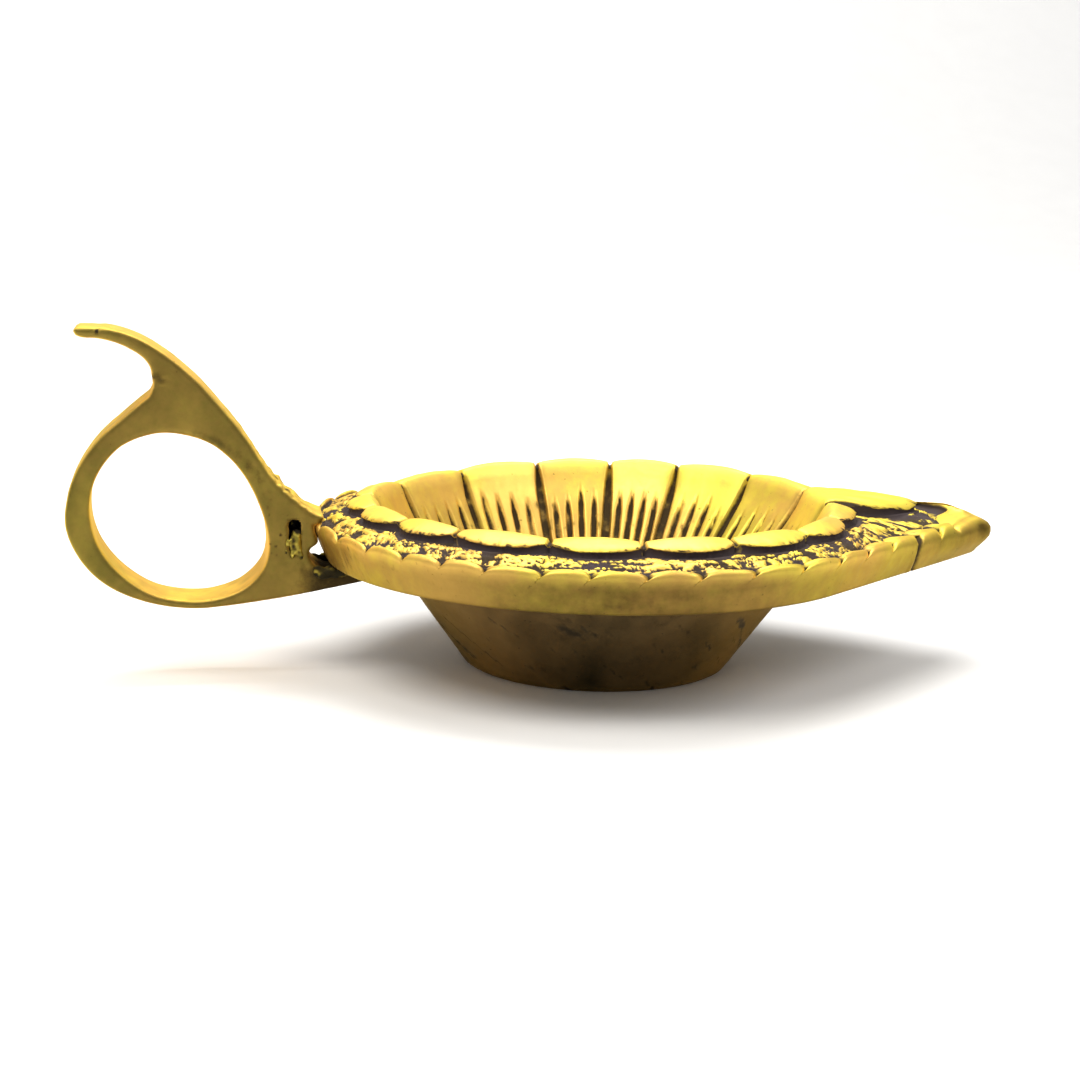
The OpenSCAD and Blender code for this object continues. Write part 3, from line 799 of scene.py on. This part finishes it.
def handle():
    outer = (spline(HAND_TOP, 8, False) + [np.array(p) for p in HAND_SEAT] + spline(HAND_LOOP, 8, False)
             + spline(HAND_THUMB, 8, False) + [np.array((-75.75, 49.15)), np.array((-75.6, 49.65))])
    mesh = plate_mesh("handle_casting", [outer, spline(HAND_HOLE, 8, True), spline(SLOT, 4, True)],
                      9.2, 0.55, 0.26)
    co = np.zeros(len(mesh.vertices) * 3, np.float32)
    no = np.zeros(len(mesh.vertices) * 3, np.float32)
    mesh.vertices.foreach_get("co", co)
    mesh.vertex_normals.foreach_get("vector", no)
    co, no = co.reshape(-1, 3).astype(float) / MM, no.reshape(-1, 3).astype(float)
    x, y, z = co.T
    face = np.abs(no[:, 1])
    d = 0.05 * fbm(x / 5, y / 5, z / 5, 2, 301) + 0.02 * fbm(x / 1.2, y / 1.2, z / 1.2, 2, 303)
    # rough residue in the crotch under the thumb rest
    crotch = np.exp(-(((x + 64.6) / 1.5) ** 2 + ((z - 42.6) / 1.0) ** 2))
    d = d + 0.22 * crotch * fbm(x / 0.6, y / 0.6, z / 0.6, 2, 305)
    # cracks that set the tip of the thumb rest off
    top = smooth(0.2, 0.8, no[:, 2])
    line1 = x + 70.3 - 1.1 * (y + 2.5) + 0.22 * vnoise(y / 0.6, 0, 0, 331)
    line2 = x + 70.3 + 0.65 * (y + 2.5) + 0.22 * vnoise(y / 0.6, 3, 0, 333)
    crease = np.exp(-(line1 / 0.24) ** 2) * smooth(-2.3, -2.7, y) * smooth(48.4, 49.2, z)
    crease = np.maximum(crease, np.exp(-(line2 / 0.20) ** 2) * smooth(-2.7, -2.3, y) * smooth(0.8, 0.0, y) * smooth(48.2, 49, z))
    d = d - 0.28 * crease - 0.14 * smooth(-71.4, -72.6, x) * top * smooth(47, 49, z)
    # lumpy top of the neck where brazing metal has run over it
    lump = np.exp(-((x + 47.5) / 5.0) ** 2) * smooth(0.25, 0.7, no[:, 2]) * smooth(22, 24, z)
    d = d + lump * (0.05 + 0.42 * fbm(x / 1.1, y / 1.4, z / 1.1, 2, 335))
    # brazing heat has roughened the neck
    neck = np.exp(-(((x + 45.6) / 2.6) ** 2 + ((z - 19.5) / 4.5) ** 2))
    d = d + 0.06 * neck * fbm(x / 0.5, y / 0.5, z / 0.5, 2, 307)
    co = co + no * d[:, None]
    mesh.vertices.foreach_set("co", (co * MM).astype(np.float32).ravel())
    mesh.update()
    # flat faces are dull and filed, the edges worn bright
    tone = smooth(0.35, 0.92, face)
    file_marks = vnoise(x / 0.5, y, z / 5.0, 341) * smooth(0.7, 0.95, face)
    tone = np.clip(tone * (0.95 + 0.15 * fbm(x / 6, y, z / 6, 2, 309)), 0, 1)
    # upward-facing surfaces held duller: painted shade that dims their reflection
    tone = np.maximum(tone, (0.22 + 0.25 * fbm(x / 2, y / 2, z / 2, 2, 353)) * smooth(0.1, 0.8, no[:, 2]))
    patina_shade = 0.10 + 0.12 * fbm(x / 3, y / 3, z / 3, 3, 311)
    patina_shade = patina_shade + 0.10 * file_marks
    patina_shade = patina_shade + lump * 0.9 * fbm(x / 0.7, y / 0.7, z / 0.7, 2, 343)
    patina_shade = patina_shade + 0.75 * crotch * (0.6 + 0.6 * fbm(x / 0.8, y / 0.8, z / 0.8, 2, 313))
    patina_shade = patina_shade + 1.0 * crease + 0.35 * neck * smooth(-0.1, 0.7, fbm(x / 1.1, y, z / 1.1, 2, 315))
    near_neck = np.exp(-(((x + 48.0) / 2.2) ** 2 + ((z - 21.5) / 4.0) ** 2))
    dot, _, size = cells(x, z, 1.15, 351)
    patina_shade = patina_shade + 0.95 * near_neck * (size > 0.4) * np.exp(-(dot / (0.06 + 0.20 * size)) ** 2)
    # the slot's walls painted dark: painted shade in the deep slot
    slot = (np.abs(x + 45.4) < 1.05) & (z > 17.6) & (z < 22.7) & (face < 0.6)
    patina_shade = np.where(slot, 0.95, patina_shade)
    # downward-facing surfaces darker: painted shade
    under = smooth(-0.3, -0.9, no[:, 2])
    # darker on the tang under the rim: painted shadow
    painted_shade = smooth(-47, -40, x) * smooth(17.5, 14.5, z)
    patina_shade = patina_shade + 0.75 * painted_shade
    patina_shade = patina_shade + 0.15 * under
    hole_edge = np.exp(-((np.hypot((x + 61.5) / 12.4, (z - 22.8) / 12.2) - 1) / 0.07) ** 2) * smooth(20, 30, z)
    patina_shade = patina_shade + 0.30 * hole_edge * face
    set_attribute(mesh, "patina_and_shade", np.clip(patina_shade, 0, 1))
    set_attribute(mesh, "tone", tone)
    set_attribute(mesh, "violet", np.clip(slot * 1.0 + crease, 0, 1))
    return add_piece("handle_casting", mesh, ["handle"], mat_handle)


handle()


# ---------------------------------------------------------------- brazing metal
def blobs(name, balls, clips, replaced, seed, painted_shade, dirt_and_shade, voxel=0.17):
    """Lumps of run metal: overlapping balls made one skin and roughened."""
    bm = bmesh.new()
    for x, y, z, r, sx, sy, sz in balls:
        m = Matrix.Translation((x * MM, y * MM, z * MM)) @ Matrix.Diagonal((sx, sy, sz, 1))
        bmesh.ops.create_icosphere(bm, subdivisions=3, radius=r * MM, matrix=m)
    mesh = bpy.data.meshes.new(name)
    bm.to_mesh(mesh)
    bm.free()
    mesh = remeshed(name, mesh, voxel, 2)
    co = np.zeros(len(mesh.vertices) * 3, np.float32)
    no = np.zeros(len(mesh.vertices) * 3, np.float32)
    mesh.vertices.foreach_get("co", co)
    mesh.vertex_normals.foreach_get("vector", no)
    co, no = co.reshape(-1, 3).astype(float) / MM, no.reshape(-1, 3).astype(float)
    x, y, z = co.T
    h = fbm(x / 0.8, y / 0.8, z / 0.8, 2, seed)
    co = co + no * (0.14 * h)[:, None]
    for c in clips:
        co = c(co)
    mesh.vertices.foreach_set("co", (co * MM).astype(np.float32).ravel())
    mesh.update()
    # black: painted shade from the mask passed in (the braze pit)
    black = painted_shade(co) if painted_shade else np.zeros(len(co))
    set_attribute(mesh, "patina_and_shade", np.clip(0.38 + dirt_and_shade - 1.0 * h + black, 0, 1))
    set_attribute(mesh, "tone", np.clip(0.70 + dirt_and_shade - 1.0 * h, 0, 1))
    set_attribute(mesh, "violet", np.clip(0.2 + black, 0, 1))
    return add_piece(name, mesh, replaced, mat_braze)


def braze():
    upper = [(-45.35, 0, 19.3, 0.92, 1, 4.75, 1.7), (-45.0, -4.05, 20.5, 0.85, 0.9, 0.7, 0.80),
             (-45.4, 4.2, 20.3, 0.92, 1, 0.7, 0.9), (-45.3, -4.15, 19.2, 0.98, 1.05, 0.7, 1.2),
             (-45.15, -4.30, 18.2, 0.80, 1.15, 0.6, 1.0), (-46.4, -4.62, 19.3, 0.38, 0.8, 0.5, 1.7),
             (-44.5, -4.60, 17.3, 0.50, 0.8, 0.5, 1.2), (-45.8, -4.60, 17.5, 0.42, 0.8, 0.5, 1.5),
             (-46.6, -4.62, 17.9, 0.30, 0.8, 0.5, 1.3),
             (-45.4, 4.3, 18.6, 0.92, 1, 0.6, 1.3), (-45.4, 0, 21.5, 1.00, 1, 2.2, 1.05)]

    # pit: the top and middle of the slot's filling painted black, painted shade of a deep pit
    def pit(co):
        return np.maximum(smooth(20.4, 21.4, co[:, 2]), smooth(4.5, 3.7, np.abs(co[:, 1])))
    blobs("braze_upper", upper, [], ["upper_braze"], 401, pit, 0.0)
    lower = []
    for s in (-1, 1):
        lower += [(-42.0, s * 4.8, 15.1, 0.80, 1.2, 0.7, 1.1), (-41.2, s * 4.95, 14.6, 0.85, 1.3, 0.7, 0.8),
                  (-40.3, s * 4.95, 15.2, 0.80, 1.3, 0.8, 0.9), (-39.6, s * 4.9, 14.7, 0.70, 1.4, 0.7, 0.9),
                  (-38.8, s * 4.9, 15.1, 0.85, 1.2, 0.8, 1.0), (-37.8, s * 4.8, 15.2, 0.80, 1.2, 0.8, 0.9)]

    def below_rim(co):
        co[:, 2] = np.minimum(co[:, 2], 15.97)
        return co
    # the lower lumps lie in the shadow under the rim and are darkened by 0.38 as painted shade
    blobs("braze_lower", lower, [below_rim], ["lower_braze"], 403, None, 0.38)


braze()


# ---------------------------------------------------------------- stage
def stage():
    w, depth, height, r = 3.0, 2.2, 2.4, 0.9
    pts = [(-1.6, 0.0)]
    pts += [(depth - r + r * math.sin(a), r - r * math.cos(a)) for a in np.linspace(0, math.pi / 2, 24)]
    pts += [(depth, height)]
    co, faces = [], []
    for y, z in pts:
        co += [(-w, y, z), (w, y, z)]
    for i in range(len(pts) - 1):
        faces.append((2 * i, 2 * i + 1, 2 * i + 3, 2 * i + 2))
    mesh = bpy.data.meshes.new("floor")
    mesh.from_pydata(co, [], faces)
    for p in mesh.polygons:
        p.use_smooth = True
    ob = bpy.data.objects.new("floor", mesh)
    scene.collection.objects.link(ob)
    n = Nodes("floor_paper")
    n.put(n.bsdf.inputs["Base Color"], n.mix(n.noise(30, 2.0), (0.86, 0.85, 0.83), (0.90, 0.89, 0.87)))
    n.bsdf.inputs["Roughness"].default_value = 0.85
    n.bsdf.inputs["Specular IOR Level"].default_value = 0.2
    mesh.materials.append(n.m)

    world = bpy.data.worlds.new("world")
    scene.world = world
    world.use_nodes = True
    bg = world.node_tree.nodes["Background"]
    bg.inputs[0].default_value = (0.97, 0.98, 1.0, 1)
    bg.inputs[1].default_value = 0.46

    def area(name, at, to, size, energy, color=(1, 1, 1)):
        li = bpy.data.lights.new(name, "AREA")
        li.shape = "RECTANGLE"
        li.size, li.size_y = size
        li.energy = energy
        li.color = color
        ob = bpy.data.objects.new(name, li)
        ob.location = at
        ob.rotation_euler = (Vector(to) - Vector(at)).to_track_quat("-Z", "Y").to_euler()
        scene.collection.objects.link(ob)

    area("key", (-0.35, -0.25, 0.75), (0, 0, 0.02), (0.5, 0.5), 4.6, (1.0, 0.97, 0.92))
    area("top", (0.1, 0.30, 0.8), (0, 0, 0.02), (0.7, 0.5), 5.0)
    area("fill", (0.50, -0.25, 0.60), (0, 0, 0.02), (0.4, 0.4), 2.0)
    area("backdrop", (0, 0.9, 1.9), (0, 2.2, 0.5), (2.0, 0.6), 30.0)


stage()
scene.view_settings.view_transform = "Standard"
scene.view_settings.look = "None"
